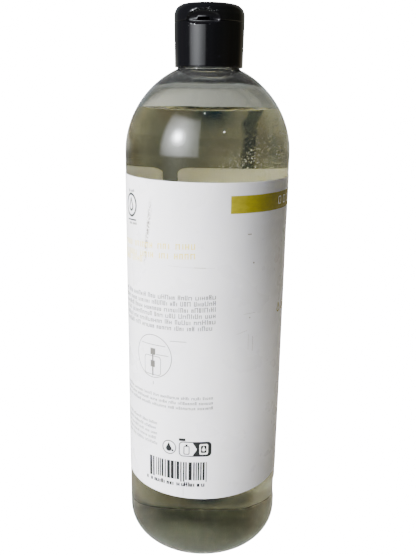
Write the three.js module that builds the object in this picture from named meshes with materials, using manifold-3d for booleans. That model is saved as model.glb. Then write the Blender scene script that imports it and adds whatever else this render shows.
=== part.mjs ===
// A hand soap refill bottle: a clear blown bottle, the soap in it, a wrap label round its straight
// wall, a sealing liner, and a black flip-top closure that screws on with a right-hand thread.
// Millimetres, +Z up. The origin is on the axis, in the plane that the base stands on.
// Angles are measured about +Z from the front, which is -Y, towards +X.
import * as THREE from 'three';
import { mergeVertices } from 'three/addons/utils/BufferGeometryUtils.js';
import Module from 'manifold-3d';

const SEGMENTS = 36;

// Bottle
const BODY_R = 33;
const WALL = 0.6;
const CORNER_W = 10.9;
const CORNER_H = 11.8;
const BASE_WALL = 0.9;
const RING_INNER_R = 18.5;
const PUSH_UP = 3.4;
const DOME_Z = 171.3;
const DOME_H = 34.4;
const DOME_POWER = 1.93;
const COLLAR_R = 12.4;
const COLLAR_TOP_Z = 203.25;
const NECK_R = 10.95;
const NECK_BORE_R = 9.4;
const RIM_Z = 217;

// Soap and label
const FILL_Z = 187;
const FILL_GAP = 0.05;
const LABEL_Z = 32.2;
const LABEL_TOP_Z = 163.3;
const LABEL_GLUE = 0.02;
const LABEL_FILM = 0.1;
const LABEL_GAP = 3.4;
const LABEL_GAP_ANGLE = THREE.MathUtils.degToRad(-165);
const LABEL_CORNER_R = 2.5;

// Thread, shared by the neck and the closure
const PITCH = 3.175;
const THREAD_TURNS = 1.5;
const THREAD_LOW_Z = 208.2;
const THREAD_ROOT_SINK = 0.35;
const NECK_THREAD = { wallR: NECK_R, crestR: 11.95, rootW: 1.5, crestW: 0.7 };
const CLOSURE_THREAD = { wallR: 12.25, crestR: 11.2, rootW: 1.1, crestW: 0.5 };

// Closure
const SKIRT_Z = 203.5;
const SKIRT_R = 13.3;
const CLOSURE_R = 13.55;
const PARTING_Z = 219.9;
const PARTING_GAP = 0.3;
const CLOSURE_TOP_Z = 227;
const CLOSURE_CORNER_R = 4.1;
const CROWN = 0.45;
const DECK_Z = 219.2;
const DECK_T = 1.2;
const SNAP_RING_R = 12.05;
const SNAP_RING_T = 0.8;
const SNAP_RING_TOP_Z = 220.6;
const NOZZLE_R = 3.4;
const NOZZLE_TOP_Z = 220.9;
const ORIFICE_R = 1.8;
const LID_INNER_R = 12.3;
const LID_T = 1.2;
const PLUG_R = 1.6;
const PLUG_Z = 219.4;
const PLUG_ROOT_R = 2.6;
const HINGE_ANGLE = THREE.MathUtils.degToRad(169);
const THUMB_ANGLE = HINGE_ANGLE - Math.PI;
const THUMB_HALF = { across: 6.5, deep: 1.7, high: 2.7 };
const THUMB_Z = 220.3;
const THUMB_BACKING = 1.0;

// Liner
const LINER_R = 11.8;
const LINER_HOLE_R = 7.6;
const LINER_Z = 217.05;
const LINER_TOP_Z = 217.95;

const wasm = await Module();
wasm.setup();

// A place at an angle from the front, and a corner of an outline as radius and height.
const around = (r, angle, z) => new THREE.Vector3(r * Math.sin(angle), -r * Math.cos(angle), z);
const point = (r, z) => new THREE.Vector2(r, z);

// Points of a quarter of a superellipse that rises from (radius, low) and closes in towards the axis,
// as far as the radius stop.
function domeArc(radius, height, stop, steps) {
  const last = Math.acos((stop / radius) ** (DOME_POWER / 2));
  const points = [];
  for (let i = 0; i <= steps; i += 1) {
    const t = (last * i) / steps;
    const r = radius * Math.cos(t) ** (2 / DOME_POWER);
    points.push(point(r, DOME_Z + height * Math.sin(t) ** (2 / DOME_POWER)));
  }
  return points;
}

// Points of the rounded corner at the foot of the wall, from the standing ring out and up.
function cornerArc(wallR, ringR, lowZ, highZ, steps) {
  const points = [];
  for (let i = 0; i <= steps; i += 1) {
    const t = ((Math.PI / 2) * i) / steps;
    points.push(point(ringR + (wallR - ringR) * Math.sin(t), lowZ + (highZ - lowZ) * (1 - Math.cos(t))));
  }
  return points;
}

// Points of the shallow dome pushed up into the base, from the axis out to the standing ring.
function pushUpArc(ringR, topZ, lowZ, steps) {
  const points = [];
  for (let i = 0; i < steps; i += 1) {
    const s = i / steps;
    points.push(point(ringR * s, lowZ + (topZ - lowZ) * Math.cos((s * Math.PI) / 2)));
  }
  return points;
}

// The inside of the bottle, from the axis at the base up to where the neck bore begins.
function insideProfile(gap) {
  const wallR = BODY_R - WALL - gap;
  const ringR = BODY_R - CORNER_W - WALL / 2;
  const floor = pushUpArc(ringR - 3, PUSH_UP + BASE_WALL + gap, BASE_WALL + gap, 3);
  const corner = cornerArc(wallR, ringR, BASE_WALL + gap, CORNER_H, 4);
  return [...floor, ...corner, ...domeArc(wallR, DOME_H - 0.7 - gap, NECK_BORE_R, 10)];
}

// A solid of revolution about +Z from a closed outline, or one that starts and ends on the axis.
function turned(profile) {
  const geometry = new THREE.LatheGeometry(profile, SEGMENTS);
  geometry.rotateX(Math.PI / 2);
  return geometry;
}

function closed(profile) {
  return [...profile, profile[0].clone()];
}

// A closed mesh with merged corners as a Manifold. Triangles that have shrunk to a line are left out.
function toSolid(geometry) {
  const bare = geometry.clone();
  bare.deleteAttribute('normal');
  bare.deleteAttribute('uv');
  const merged = mergeVertices(bare, 1e-5);
  const index = merged.index.array;
  const triangles = [];
  for (let i = 0; i < index.length; i += 3) {
    const [a, b, c] = [index[i], index[i + 1], index[i + 2]];
    if (a !== b && b !== c && c !== a) triangles.push(a, b, c);
  }
  const vertProperties = new Float32Array(merged.attributes.position.array);
  const solid = new wasm.Manifold(
    new wasm.Mesh({ numProp: 3, vertProperties, triVerts: new Uint32Array(triangles) }),
  );
  if (solid.volume() > 0) return solid;
  const flipped = [];
  for (let i = 0; i < triangles.length; i += 3) flipped.push(triangles[i], triangles[i + 2], triangles[i + 1]);
  return new wasm.Manifold(
    new wasm.Mesh({ numProp: 3, vertProperties, triVerts: new Uint32Array(flipped) }),
  );
}

function toGeometry(solid) {
  const mesh = solid.getMesh();
  const geometry = new THREE.BufferGeometry();
  geometry.setAttribute('position', new THREE.BufferAttribute(new Float32Array(mesh.vertProperties), 3));
  geometry.setIndex(new THREE.BufferAttribute(new Uint32Array(mesh.triVerts), 1));
  geometry.computeVertexNormals();
  return geometry;
}

// A right-hand helix that runs down from its top end, with its normal kept level and pointing outwards.
class Helix extends THREE.Curve {
  constructor(radius, lowZ) {
    super();
    this.radius = radius;
    this.lowZ = lowZ;
  }

  angleAt(t) {
    return (1 - t) * THREAD_TURNS * 2 * Math.PI;
  }

  getPoint(t) {
    return around(this.radius, this.angleAt(t), this.lowZ + (1 - t) * THREAD_TURNS * PITCH);
  }

  computeFrenetFrames(steps) {
    const frames = { tangents: [], normals: [], binormals: [] };
    for (let i = 0; i <= steps; i += 1) {
      const outward = around(1, this.angleAt(i / steps), 0);
      frames.normals.push(outward);
      frames.binormals.push(new THREE.Vector3(0, 0, 1));
      frames.tangents.push(new THREE.Vector3().crossVectors(outward, frames.binormals[i]));
    }
    return frames;
  }
}

// One thread bead: a trapezoid whose root is sunk into its wall, carried along the helix.
function threadBead({ wallR, crestR, rootW, crestW }, lowZ) {
  const inwards = Math.sign(wallR - crestR);
  const sunk = inwards * THREAD_ROOT_SINK;
  const height = crestR - wallR;
  const corners = [
    point(sunk, -rootW / 2),
    point(0, -rootW / 2),
    point(height, -crestW / 2),
    point(height, crestW / 2),
    point(0, rootW / 2),
    point(sunk, rootW / 2),
  ];
  const steps = Math.round(THREAD_TURNS * SEGMENTS);
  const path = new Helix(wallR, lowZ);
  return new THREE.ExtrudeGeometry(new THREE.Shape(corners), { steps, extrudePath: path, bevelEnabled: false });
}

// The bottle: base with a push-up, straight wall, domed shoulder, and a threaded neck open at the top.
function bottleSolid() {
  const ringR = BODY_R - CORNER_W;
  const outside = [
    ...pushUpArc(RING_INNER_R, PUSH_UP, 0, 3),
    point(RING_INNER_R, 0),
    ...cornerArc(BODY_R, ringR, 0, CORNER_H, 6),
    ...domeArc(BODY_R, DOME_H, COLLAR_R, 12),
    point(COLLAR_R, COLLAR_TOP_Z),
    point(NECK_R, COLLAR_TOP_Z + 0.6),
    point(NECK_R, RIM_Z - 0.4),
    point(NECK_R - 0.4, RIM_Z),
    point(NECK_BORE_R, RIM_Z),
  ];
  const shell = toSolid(turned([...outside, ...insideProfile(0).reverse()]));
  return shell.add(toSolid(threadBead(NECK_THREAD, THREAD_LOW_Z)));
}

// The soap: it fills the bottle up to the fill line, with a level surface.
function soapSolid() {
  const below = insideProfile(FILL_GAP).filter((p) => p.y < FILL_Z - 0.5);
  const wallR = BODY_R - WALL - FILL_GAP;
  const rise = (FILL_Z - DOME_Z) / (DOME_H - 0.7 - FILL_GAP);
  const surfaceR = wallR * (1 - rise ** DOME_POWER) ** (1 / DOME_POWER);
  return toSolid(turned([...below, point(surfaceR, FILL_Z), point(0, FILL_Z)]));
}

// The slot left between the label's ends, which flares at the top and bottom into their rounded corners.
function labelGapSlot() {
  const half = LABEL_GAP / 2;
  const r = LABEL_CORNER_R;
  const past = 2;
  const slot = new THREE.Shape();
  slot.moveTo(-half - r, LABEL_Z - past);
  slot.lineTo(half + r, LABEL_Z - past);
  slot.lineTo(half + r, LABEL_Z);
  slot.absarc(half + r, LABEL_Z + r, r, -Math.PI / 2, -Math.PI, true);
  slot.absarc(half + r, LABEL_TOP_Z - r, r, Math.PI, Math.PI / 2, true);
  slot.lineTo(half + r, LABEL_TOP_Z + past);
  slot.lineTo(-half - r, LABEL_TOP_Z + past);
  slot.absarc(-half - r, LABEL_TOP_Z - r, r, Math.PI / 2, 0, true);
  slot.absarc(-half - r, LABEL_Z + r, r, 0, -Math.PI / 2, true);
  slot.closePath();
  const depth = 6;
  const geometry = new THREE.ExtrudeGeometry(slot, { depth, curveSegments: 3, bevelEnabled: false });
  geometry.translate(0, 0, BODY_R - depth / 2);
  geometry.rotateX(Math.PI / 2);
  geometry.rotateZ(LABEL_GAP_ANGLE);
  return toSolid(geometry);
}

function labelSolid() {
  const innerR = BODY_R + LABEL_GLUE;
  const outerR = innerR + LABEL_FILM;
  const outline = [
    point(innerR, LABEL_Z),
    point(outerR, LABEL_Z),
    point(outerR, LABEL_TOP_Z),
    point(innerR, LABEL_TOP_Z),
  ];
  return toSolid(turned(closed(outline))).subtract(labelGapSlot());
}

// The thumb recess across the lid's lower edge and the closure's upper edge, grown all round by a margin.
function thumbScoop(margin) {
  const ball = new THREE.SphereGeometry(1, 20, 10);
  ball.rotateX(Math.PI / 2);
  ball.scale(THUMB_HALF.across + margin, THUMB_HALF.deep + margin, THUMB_HALF.high + margin);
  ball.translate(0, -CLOSURE_R, THUMB_Z);
  ball.rotateZ(THUMB_ANGLE);
  return toSolid(ball);
}

// The closure: a threaded skirt under a deck with a snap ring and a nozzle round its orifice.
function closureSolid() {
  const boreR = CLOSURE_THREAD.wallR;
  const topZ = PARTING_Z - PARTING_GAP / 2;
  const ringInnerR = SNAP_RING_R - SNAP_RING_T;
  const outline = [
    point(boreR, SKIRT_Z),
    point(SKIRT_R - 0.2, SKIRT_Z),
    point(SKIRT_R, SKIRT_Z + 0.3),
    point(CLOSURE_R, topZ - 0.2),
    point(CLOSURE_R - 0.2, topZ),
    point(ringInnerR, topZ),
    point(ringInnerR, DECK_Z),
    point(NOZZLE_R, DECK_Z),
    point(NOZZLE_R - 0.4, NOZZLE_TOP_Z),
    point(ORIFICE_R + 0.3, NOZZLE_TOP_Z),
    point(ORIFICE_R, NOZZLE_TOP_Z - 0.3),
    point(ORIFICE_R, DECK_Z - DECK_T),
    point(boreR, DECK_Z - DECK_T),
  ];
  const shell = toSolid(turned(closed(outline)));
  const bead = toSolid(threadBead(CLOSURE_THREAD, THREAD_LOW_Z - PITCH / 2));
  return shell.add(bead).subtract(thumbScoop(0)).add(snapRing(ringInnerR));
}

// The raised ring that the lid shuts over. It stops short of the thumb recess.
function snapRing(innerR) {
  const outline = [
    point(innerR, DECK_Z),
    point(SNAP_RING_R, DECK_Z),
    point(SNAP_RING_R, SNAP_RING_TOP_Z - 0.2),
    point(SNAP_RING_R - 0.2, SNAP_RING_TOP_Z),
    point(innerR, SNAP_RING_TOP_Z),
  ];
  return toSolid(turned(closed(outline))).subtract(thumbScoop(THUMB_BACKING + PARTING_GAP));
}

// The lid: a round cap with a softly crowned top, and a plug that stops the orifice when it is shut.
function lidSolid() {
  const lowZ = PARTING_Z + PARTING_GAP / 2;
  const cornerR = CLOSURE_CORNER_R;
  const shoulderZ = CLOSURE_TOP_Z - CROWN - cornerR;
  const outside = [point(CLOSURE_R - 0.2, lowZ), point(CLOSURE_R, lowZ + 0.2)];
  const steps = 5;
  for (let i = 0; i <= steps; i += 1) {
    const t = ((Math.PI / 2) * i) / steps;
    outside.push(point(CLOSURE_R - cornerR + cornerR * Math.cos(t), shoulderZ + cornerR * Math.sin(t)));
  }
  outside.push(point((CLOSURE_R - cornerR) / 2, CLOSURE_TOP_Z - CROWN / 4));
  outside.push(point(0, CLOSURE_TOP_Z));
  const full = toSolid(turned([point(0, lowZ), ...outside]));
  const roofZ = CLOSURE_TOP_Z - CROWN - LID_T;
  const hollow = toSolid(
    turned([
      point(0, lowZ - 1),
      point(LID_INNER_R, lowZ - 1),
      point(LID_INNER_R, roofZ - cornerR + LID_T),
      point(LID_INNER_R - 0.9, roofZ - 1),
      point(LID_INNER_R - 2.6, roofZ),
      point(0, roofZ),
    ]),
  );
  const plug = toSolid(
    turned([
      point(0, PLUG_Z),
      point(PLUG_R - 0.3, PLUG_Z),
      point(PLUG_R, PLUG_Z + 0.4),
      point(PLUG_R, NOZZLE_TOP_Z + 0.4),
      point(PLUG_ROOT_R, NOZZLE_TOP_Z + 1.2),
      point(PLUG_ROOT_R, roofZ + LID_T / 2),
      point(0, roofZ + LID_T / 2),
    ]),
  );
  return full.subtract(hollow.subtract(thumbScoop(THUMB_BACKING))).subtract(thumbScoop(0)).add(plug);
}

function linerSolid() {
  const outline = [
    point(LINER_HOLE_R, LINER_Z),
    point(LINER_R, LINER_Z),
    point(LINER_R, LINER_TOP_Z),
    point(LINER_HOLE_R, LINER_TOP_Z),
  ];
  return toSolid(turned(closed(outline)));
}

const clearPlastic = new THREE.MeshStandardMaterial({ color: 0xc9ccbf, roughness: 0.08, metalness: 0 });
const liquid = new THREE.MeshStandardMaterial({ color: 0x8f8d78, roughness: 0.05, metalness: 0 });
const film = new THREE.MeshStandardMaterial({ color: 0xe9e8ea, roughness: 0.4, metalness: 0 });
const blackPlastic = new THREE.MeshStandardMaterial({ color: 0x0c0c0e, roughness: 0.28, metalness: 0 });
const foam = new THREE.MeshStandardMaterial({ color: 0xdedcd4, roughness: 0.9, metalness: 0 });

function piece(name, solid, material) {
  const mesh = new THREE.Mesh(toGeometry(solid), material);
  mesh.name = name;
  return mesh;
}

const pack = new THREE.Group();
pack.add(piece('bottle', bottleSolid(), clearPlastic));
pack.add(piece('soap_fill', soapSolid(), liquid));
pack.add(piece('wrap_label', labelSolid(), film));
pack.add(piece('sealing_liner', linerSolid(), foam));
pack.add(piece('closure_body', closureSolid(), blackPlastic));
pack.add(piece('flip_lid', lidSolid(), blackPlastic));

export default pack;
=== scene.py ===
"""Looks for a hand soap refill bottle: clear bottle, soap, printed wrap label and black flip-top closure.

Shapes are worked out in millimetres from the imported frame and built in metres. Angles are measured
about +Z from the front of the frame, which is -Y, towards +X.
"""
import math
import random

import bpy
import numpy as np
from mathutils import Matrix, Vector, noise


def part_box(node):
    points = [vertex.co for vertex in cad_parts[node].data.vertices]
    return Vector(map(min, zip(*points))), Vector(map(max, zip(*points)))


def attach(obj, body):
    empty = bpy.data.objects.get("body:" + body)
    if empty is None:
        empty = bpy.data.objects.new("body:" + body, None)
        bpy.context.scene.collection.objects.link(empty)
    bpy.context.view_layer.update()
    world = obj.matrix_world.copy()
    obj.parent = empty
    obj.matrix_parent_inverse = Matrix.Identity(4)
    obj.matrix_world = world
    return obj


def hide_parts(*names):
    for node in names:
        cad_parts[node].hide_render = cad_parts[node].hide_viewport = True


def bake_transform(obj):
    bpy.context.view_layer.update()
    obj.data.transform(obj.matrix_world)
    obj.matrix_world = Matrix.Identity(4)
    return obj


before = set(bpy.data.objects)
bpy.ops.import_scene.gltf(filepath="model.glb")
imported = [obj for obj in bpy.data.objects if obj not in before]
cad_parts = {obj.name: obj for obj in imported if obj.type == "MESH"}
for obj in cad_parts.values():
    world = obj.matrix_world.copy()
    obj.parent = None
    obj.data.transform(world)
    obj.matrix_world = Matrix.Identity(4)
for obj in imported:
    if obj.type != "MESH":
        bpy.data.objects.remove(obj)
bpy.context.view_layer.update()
MM = 0.001
TURN = 2 * math.pi


def rad(degrees):
    return math.radians(degrees)


# ---------------------------------------------------------------- sizes, from the frame
def node_mm(node):
    low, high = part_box(node)
    return low / MM, high / MM


BODY_R = node_mm("bottle")[1].x
RIM_Z = node_mm("bottle")[1].z
FILL_Z = node_mm("soap_fill")[1].z
LABEL_Z, LABEL_TOP_Z = node_mm("wrap_label")[0].z, node_mm("wrap_label")[1].z
SKIRT_Z, RING_TOP_Z = node_mm("closure_body")[0].z, node_mm("closure_body")[1].z
CLOSURE_R = node_mm("flip_lid")[1].x
CLOSURE_TOP_Z = node_mm("flip_lid")[1].z
LINER_Z, LINER_TOP_Z = node_mm("sealing_liner")[0].z, node_mm("sealing_liner")[1].z
LINER_R = node_mm("sealing_liner")[1].x

# Bottle sizes that the frame's boxes don't give
WALL = 0.6
BASE_WALL = 0.9
CORNER_W, CORNER_H = 10.9, 11.8
RING_INNER_R, PUSH_UP = 18.5, 3.4
DOME_Z, DOME_H, DOME_POWER = 171.3, 34.4, 1.93
COLLAR_R, COLLAR_TOP_Z = 12.4, 203.25
NECK_R, NECK_BORE_R = 10.95, 9.4
SOAP_IN_WALL = 0.08      # the soap reaches this far into the wall, so no air shows between them
MENISCUS_H, MENISCUS_W = 1.6, 1.7

# Thread
PITCH, THREAD_TURNS, THREAD_LOW_Z = 3.175, 1.5, 208.2
NECK_THREAD_H, CLOSURE_THREAD_H = 1.0, 1.05

# Closure
CLOSURE_BORE_R, SKIRT_R = 12.25, 13.3
PARTING_Z, PARTING_GAP = 219.9, 0.12
DECK_Z, DECK_T = 219.2, 1.2
SNAP_RING_R, SNAP_RING_T = 12.05, 0.8
NOZZLE_R, NOZZLE_TOP_Z, ORIFICE_R = 3.4, 220.9, 1.8
LID_INNER_R, LID_T = 12.3, 1.2
LID_CORNER_R, LID_CROWN = 4.1, 0.45
PLUG_R, PLUG_Z, PLUG_ROOT_R = 1.6, 219.4, 2.6
HINGE_ANGLE = rad(169)
THUMB_ANGLE = HINGE_ANGLE - math.pi
THUMB_HALF_W, THUMB_DEEP, THUMB_Z = 6.5, 1.6, 220.1
THUMB_ABOVE, THUMB_BELOW = 3.9, 1.7
LIFT_HALF_W, LIFT_H = 2.7, 1.0   # the slit under the lid's edge that a nail goes into

# Label
LABEL_OUT = 0.12         # the film's outer face stands this far off the wall
LABEL_IN = 0.05          # and its inner face this far inside it, because it is glued down
LABEL_GAP, LABEL_GAP_ANGLE, LABEL_CORNER_R = 3.4, rad(-165), 2.5
PRINT_LIFT, PRINT_SINK = 0.016, 0.02
OVER_PRINT = 1.0004      # marks laid over other print stand this many times as far from the axis
FOLD_Z, FOLD_DEGREES = 154.1, -39.6     # a point near the pinched fold's upper end
FOLD_SLOPE = 6.1 / 22.8                 # and how many degrees it runs round for each mm up
BACK_TILT = 0.07         # the back panel's print runs uphill to the right by this much

random.seed(7)


# ---------------------------------------------------------------- small curve helpers
def smooth(x, low, high):
    """0 below low, 1 above high, and a smooth step between. Works on numbers and arrays."""
    t = np.clip((x - low) / (high - low), 0, 1)
    return t * t * (3 - 2 * t)


def arc(r, z, radius, start, end, steps):
    """Outline points of an arc about (r, z), with angles in degrees from the outward direction."""
    angles = np.linspace(rad(start), rad(end), steps + 1)
    return [(r + radius * math.cos(a), z + radius * math.sin(a)) for a in angles]


def line(start, end, steps):
    """Outline points from start to end, with start left out."""
    return [
        (start[0] + (end[0] - start[0]) * i / steps, start[1] + (end[1] - start[1]) * i / steps)
        for i in range(1, steps + 1)
    ]


def dome_radius(z, wall_r=BODY_R, height=DOME_H):
    rise = min(max((z - DOME_Z) / height, 0), 1)
    return wall_r * (1 - rise**DOME_POWER) ** (1 / DOME_POWER)


def dome_arc(wall_r, height, stop, steps):
    last = math.acos((stop / wall_r) ** (DOME_POWER / 2))
    turns = [last * i / steps for i in range(steps + 1)]
    return [
        (wall_r * math.cos(t) ** (2 / DOME_POWER), DOME_Z + height * math.sin(t) ** (2 / DOME_POWER))
        for t in turns
    ]


def corner_arc(wall_r, ring_r, low, high, steps):
    turns = [math.pi / 2 * i / steps for i in range(steps + 1)]
    return [
        (ring_r + (wall_r - ring_r) * math.sin(t), low + (high - low) * (1 - math.cos(t)))
        for t in turns
    ]


def push_up_arc(ring_r, top, low, steps):
    shares = [i / steps for i in range(steps)]
    return [(ring_r * s, low + (top - low) * (0.5 + 0.5 * math.cos(s * math.pi))) for s in shares]


def around(r, angle, z):
    """The point in metres at radius r and height z in mm, at an angle from the front."""
    return (r * math.sin(angle) * MM, -r * math.cos(angle) * MM, z * MM)


# ---------------------------------------------------------------- mesh helpers
def new_piece(name, vertices, faces, sharp_above=40):
    mesh = bpy.data.meshes.new(name)
    mesh.from_pydata(vertices, [], faces)
    mesh.validate()
    mesh.shade_smooth()
    mesh.set_sharp_from_angle(angle=rad(sharp_above))
    obj = bpy.data.objects.new(name, mesh)
    bpy.context.scene.collection.objects.link(obj)
    return obj


def turned(name, outline, columns, bend=None, sharp_above=40):
    """A solid of revolution. The outline runs up its outer side and down its inner side, and is either
    closed or starts and ends on the axis. bend(r, z, angles) may return changed radii and heights."""
    angles = np.arange(columns) * TURN / columns
    vertices, rings = [], []
    for r, z in outline:
        first = len(vertices)
        if r < 1e-6:
            vertices.append((0, 0, z * MM))
            rings.append([first] * columns)
            continue
        radii, heights = (r, z) if bend is None else bend(r, z, angles)
        radii = np.broadcast_to(radii, columns)
        heights = np.broadcast_to(heights, columns)
        vertices += [around(*p) for p in zip(radii, angles, heights)]
        rings.append(list(range(first, first + columns)))
    on_axis = outline[0][0] < 1e-6
    faces = []
    for k in range(len(rings) - 1 if on_axis else len(rings)):
        low, high = rings[k], rings[(k + 1) % len(rings)]
        for i in range(columns):
            j = (i + 1) % columns
            corners = list(dict.fromkeys((low[i], low[j], high[j], high[i])))
            if len(corners) > 2:
                faces.append(corners)
    return new_piece(name, vertices, faces, sharp_above)


def slab_faces(columns, rows, first=0):
    """Faces of a closed slab whose points start at first: its outer grid and then its inner one, both
    column by column."""
    side = (columns + 1) * (rows + 1)
    faces = []
    for i in range(columns):
        for k in range(rows):
            a = first + i * (rows + 1) + k
            b = a + rows + 1
            faces.append((a, b, b + 1, a + 1))
            faces.append((side + a, side + a + 1, side + b + 1, side + b))
        for k, flip in ((0, False), (rows, True)):
            a = first + i * (rows + 1) + k
            b = a + rows + 1
            quad = (a, side + a, side + b, b)
            faces.append(quad[::-1] if flip else quad)
    for i, flip in ((0, False), (columns, True)):
        for k in range(rows):
            a = first + i * (rows + 1) + k
            quad = (a, a + 1, side + a + 1, side + a)
            faces.append(quad[::-1] if flip else quad)
    return faces


def thread_ridge(angles, z, half_root, half_crest, low_z):
    """The height, from 0 to 1, of a right-hand thread bead that starts at angle 0 and height low_z."""
    ridge = np.zeros_like(angles)
    for turn in range(2):
        along = angles + TURN * turn
        centre = low_z + PITCH * along / TURN
        flank = np.clip((half_root - np.abs(z - centre)) / (half_root - half_crest), 0, 1)
        end = THREAD_TURNS * TURN
        ridge = np.maximum(ridge, flank * smooth(along, 0, 0.5) * (1 - smooth(along, end - 0.5, end)))
    return ridge


# ---------------------------------------------------------------- camera
CAMERA_LENS = 43.07
CAMERA_AT = (0, -0.2725, 0.1945)
CAMERA_TURN, CAMERA_DOWN, CAMERA_ROLL = -0.21, 15.62, 0.92    # in degrees


def make_camera():
    """The viewing angle of a close look from the front, slightly from above."""
    data = bpy.data.cameras.new("camera")
    data.lens = CAMERA_LENS
    data.clip_start = 0.01
    camera = bpy.data.objects.new("camera", data)
    bpy.context.scene.collection.objects.link(camera)
    turn = Matrix.Rotation(rad(CAMERA_TURN), 4, "Z")
    tip = Matrix.Rotation(rad(90 - CAMERA_DOWN), 4, "X")
    roll = Matrix.Rotation(rad(CAMERA_ROLL), 4, "Z")
    camera.matrix_world = Matrix.Translation(CAMERA_AT) @ turn @ tip @ roll
    bpy.context.scene.camera = camera


make_camera()


# ---------------------------------------------------------------- bottle and soap
def dent(angles, z):
    """How far the wall is pushed in, in mm: a shallow squeeze at the lower right, with a crease above
    and below it that both fall as they run round."""
    degrees = np.degrees(angles) % 360
    beside = smooth(degrees, 30, 60) * (1 - smooth(degrees, 112, 150))
    fall = np.clip(degrees - 38, 0, 60) / 60
    top = 32.5 - 8 * fall
    low = 23.5 - 9 * fall
    inside = smooth(z, low - 1.6, low + 2.0) * (1 - smooth(z, top - 2.2, top + 0.8))
    return 0.4 * beside * inside


def wall_wave(angles, z):
    """Slow unevenness of the blown wall, in mm."""
    slow = np.sin(2 * angles + 0.031 * z) + 0.6 * np.sin(3 * angles - 0.052 * z + 1.0)
    return 0.035 * slow * smooth(z, 4, 14)


def on_wall(r, z, angles):
    """Bends an outline point at or near the wall with the dent and the wall's unevenness."""
    share = 1.0 if r > NECK_R + 3 else 0.0
    return r - share * (dent(angles, z) - wall_wave(angles, z)), z


def inside_outline(gap, top_steps=60):
    wall_r = BODY_R - WALL - gap
    ring_r = BODY_R - CORNER_W - WALL / 2
    floor_z = BASE_WALL + gap
    floor = push_up_arc(ring_r - 2, PUSH_UP + floor_z, floor_z, 14)
    corner = corner_arc(wall_r, ring_r, floor_z, CORNER_H, 14)
    wall = line(corner[-1], (wall_r, 40), 24) + line((wall_r, 40), (wall_r, DOME_Z), 30)
    dome = dome_arc(wall_r, DOME_H - 0.7 - gap, NECK_BORE_R, top_steps)
    dome = [(r, z - 1.3 * float(smooth(z, 196, 203))) for r, z in dome]
    return floor + corner + wall + dome[1:]


def make_bottle():
    base = push_up_arc(RING_INNER_R, PUSH_UP, 0, 14)
    ring = [(RING_INNER_R, 0.12), (RING_INNER_R + 0.6, 0), (BODY_R - CORNER_W - 0.2, 0)]
    corner = corner_arc(BODY_R, BODY_R - CORNER_W, 0, CORNER_H, 20)
    wall = line(corner[-1], (BODY_R, 40), 40) + line((BODY_R, 40), (BODY_R, DOME_Z), 30)
    dome = dome_arc(BODY_R, DOME_H, COLLAR_R + 0.35, 64)
    foot_z = dome[-1][1]
    collar = [(COLLAR_R + 0.1, foot_z + 0.1), (COLLAR_R, foot_z + 0.3), (COLLAR_R, COLLAR_TOP_Z - 0.15)]
    ledge = [(COLLAR_R - 0.15, COLLAR_TOP_Z), (NECK_R + 0.2, COLLAR_TOP_Z + 0.25)]
    ledge += [(NECK_R, COLLAR_TOP_Z + 0.6)]
    neck = line(ledge[-1], (NECK_R, RIM_Z - 0.5), 80)
    lip = arc(NECK_R - 0.5, RIM_Z - 0.5, 0.5, 0, 90, 4) + arc(NECK_BORE_R + 0.3, RIM_Z - 0.3, 0.3, 90, 180, 3)
    outline = base + ring + corner[1:] + wall + dome[1:] + collar + ledge + neck + lip

    def bend(r, z, angles):
        if abs(r - NECK_R) < 0.01 and z > COLLAR_TOP_Z:
            return r + NECK_THREAD_H * thread_ridge(angles, z, 0.75, 0.35, THREAD_LOW_Z), z
        return on_wall(r, z, angles)

    return turned("clear_bottle", outline + inside_outline(0)[::-1], 180, bend)


def make_soap():
    sides = [p for p in inside_outline(-SOAP_IN_WALL) if p[1] < FILL_Z - 3]
    wall_r = BODY_R - WALL + SOAP_IN_WALL
    height = DOME_H - 0.7 + SOAP_IN_WALL
    top_z = FILL_Z + MENISCUS_H
    shoulder = [(dome_radius(z, wall_r, height), z) for z in np.linspace(FILL_Z - 2.6, top_z, 12)]
    edge_r = shoulder[-1][0]
    inwards = [0.08, 0.2, 0.4, 0.65, 1, 1.5, 2.2, 3.2, 4.6, 7]
    surface = [(edge_r - s, FILL_Z + MENISCUS_H * math.exp(-s / MENISCUS_W)) for s in inwards]
    surface += [(edge_r * s, FILL_Z) for s in (0.6, 0.4, 0.2)] + [(0, FILL_Z)]
    return turned("liquid_soap", sides + shoulder + surface, 180, on_wall)


bottle = make_bottle()
soap = make_soap()


# ---------------------------------------------------------------- label
LABEL_R = BODY_R + LABEL_OUT
LABEL_START = LABEL_GAP_ANGLE + LABEL_GAP / 2 / LABEL_R
LABEL_END = LABEL_GAP_ANGLE + TURN - LABEL_GAP / 2 / LABEL_R


def label_wave(angle, z):
    """Slow waviness and one pinched fold of the film, in mm."""
    at = Vector((math.sin(angle) * 2.2, math.cos(angle) * 2.2, z * 0.035))
    wave = 0.05 * noise.noise(at) + 0.018 * noise.noise(at * 3.1)
    fold_angle = rad(FOLD_DEGREES - FOLD_SLOPE * (FOLD_Z - z))
    beside = abs(angle - fold_angle) * LABEL_R
    along = float(smooth(z, 130, 136) * (1 - smooth(z, 148, 156)))
    return wave + 0.11 * along * math.exp(-((beside / 0.45) ** 2))


def label_radius(angle, z):
    wall = float(wall_wave(np.array(angle), z)) - float(dent(np.array(angle), z))
    return LABEL_R + wall + label_wave(angle, z)


def label_low(u):
    """The film's lower edge, which was cut very slightly askew."""
    return LABEL_Z + 0.4 + 0.017 * max(min(u, 30), -30)


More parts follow.
